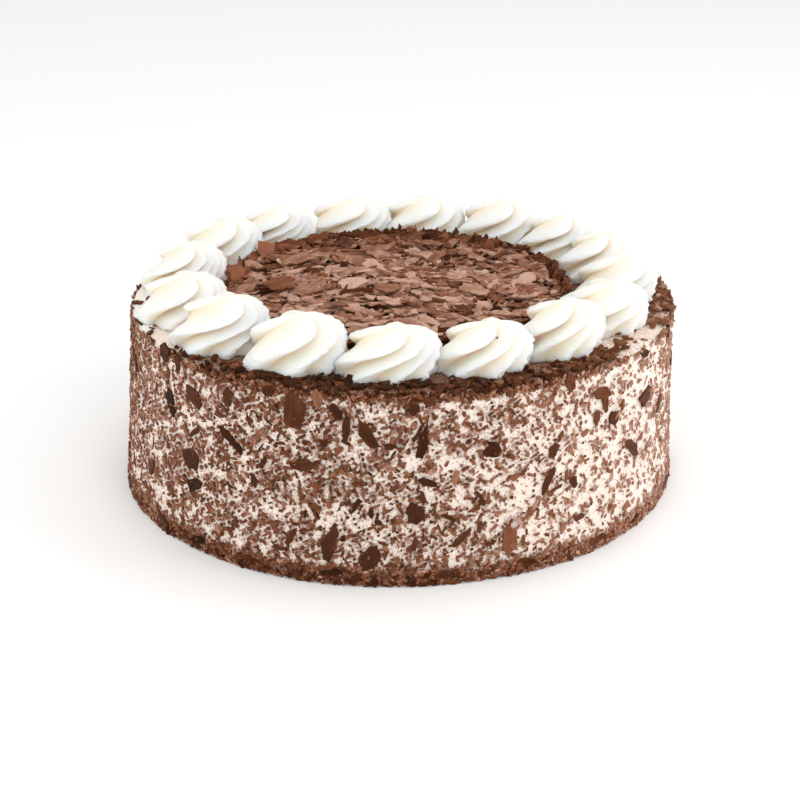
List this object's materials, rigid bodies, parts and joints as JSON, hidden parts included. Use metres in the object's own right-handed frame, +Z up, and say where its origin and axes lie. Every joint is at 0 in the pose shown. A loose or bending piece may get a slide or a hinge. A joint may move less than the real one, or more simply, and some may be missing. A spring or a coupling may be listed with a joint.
{
  "type": "round chocolate cake",
  "caption": "Round cream-coated cake, its side covered with chocolate shavings and flakes, with a ring of piped cream swirls round a bed of chocolate flakes on top.",
  "frame": {"origin": "centre of the cake's foot, on the surface that the cake stands on", "axes": "+Z up through the top; -Y towards the side that the picture shows; +X to the right in that view, the way the swirls' tips are drawn"},
  "size_m": [0.2481, 0.2467, 0.1009],
  "materials": {
    "coat": "whipped cream thickly covered with fine chocolate shavings",
    "chocolate": "broken milk chocolate flakes with a dusty matt bloom",
    "cream": "whipped cream, soft satin"
  },
  "bodies": {
    "root": {"cake_body": "coat", "flake_bed": "chocolate", "cream_swirl_01": "cream", "cream_swirl_02": "cream", "cream_swirl_03": "cream", "cream_swirl_04": "cream", "cream_swirl_05": "cream", "cream_swirl_06": "cream", "cream_swirl_07": "cream", "cream_swirl_08": "cream", "cream_swirl_09": "cream", "cream_swirl_10": "cream", "cream_swirl_11": "cream", "cream_swirl_12": "cream", "cream_swirl_13": "cream", "cream_swirl_14": "cream", "cream_swirl_15": "cream", "cream_swirl_16": "cream"}
  },
  "joints": []
}
